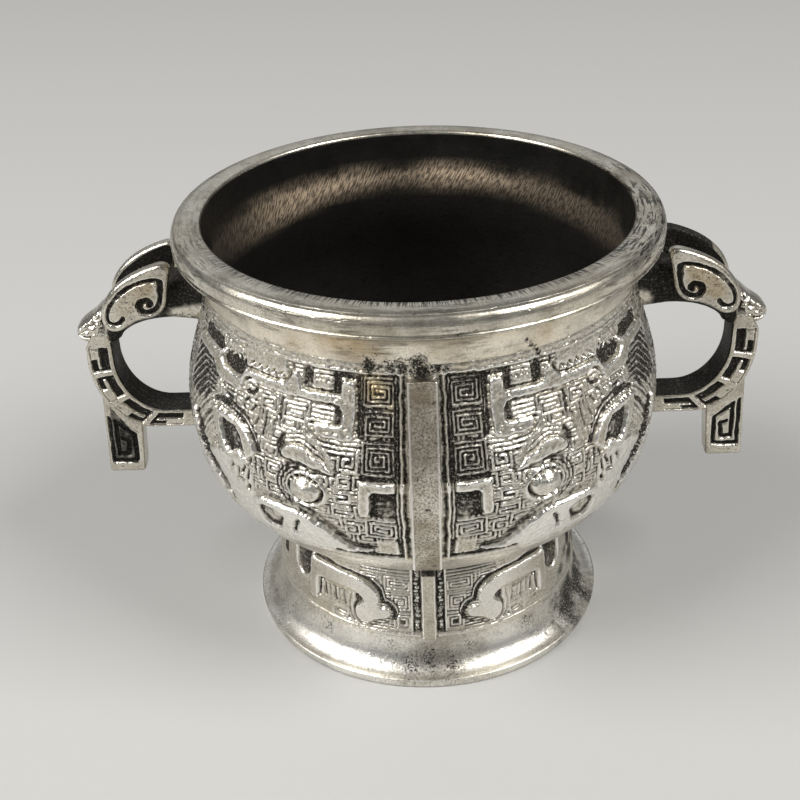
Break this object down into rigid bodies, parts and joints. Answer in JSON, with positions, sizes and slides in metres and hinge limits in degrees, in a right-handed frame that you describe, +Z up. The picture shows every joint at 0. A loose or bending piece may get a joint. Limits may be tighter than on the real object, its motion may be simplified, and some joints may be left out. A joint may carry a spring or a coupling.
{
  "type": "beast-handled cup",
  "caption": "Round-bellied cast metal cup for drink, food or incense, on a flaring ring foot, with upright flanges, a heavy lip and beast-head loop handles with hanging tabs.",
  "frame": {"origin": "on the table plane, under the centre of the ring foot", "axes": "+Z up along the bowl's axis; +X along the line of the handles, right-hand handle first; the front flange faces -Y"},
  "size_m": [0.0936, 0.0668, 0.0605],
  "materials": {
    "bowl_silver": "silvered white-copper casting, darkened in the recesses, worn bright on the high places",
    "foot_silver": "silvered white-copper casting, flare worn and polished",
    "flange_silver": "silvered white-copper strip, satin, worn edges",
    "handle_silver": "silvered white-copper casting, dark in the carved cells",
    "ear_silver": "silvered white-copper plate, bright rim round a darkened field"
  },
  "bodies": {
    "root": {"bowl": "bowl_silver", "ring_foot": "foot_silver", "bowl_flange_front": "flange_silver", "bowl_flange_rear": "flange_silver", "foot_flange_front": "flange_silver", "foot_flange_rear": "flange_silver", "left_handle_loop": "handle_silver", "left_beast_head": "handle_silver", "left_ear_front": "ear_silver", "left_ear_rear": "ear_silver", "left_hanging_tab": "handle_silver", "right_handle_loop": "handle_silver", "right_beast_head": "handle_silver", "right_ear_front": "ear_silver", "right_ear_rear": "ear_silver", "right_hanging_tab": "handle_silver"}
  },
  "joints": []
}
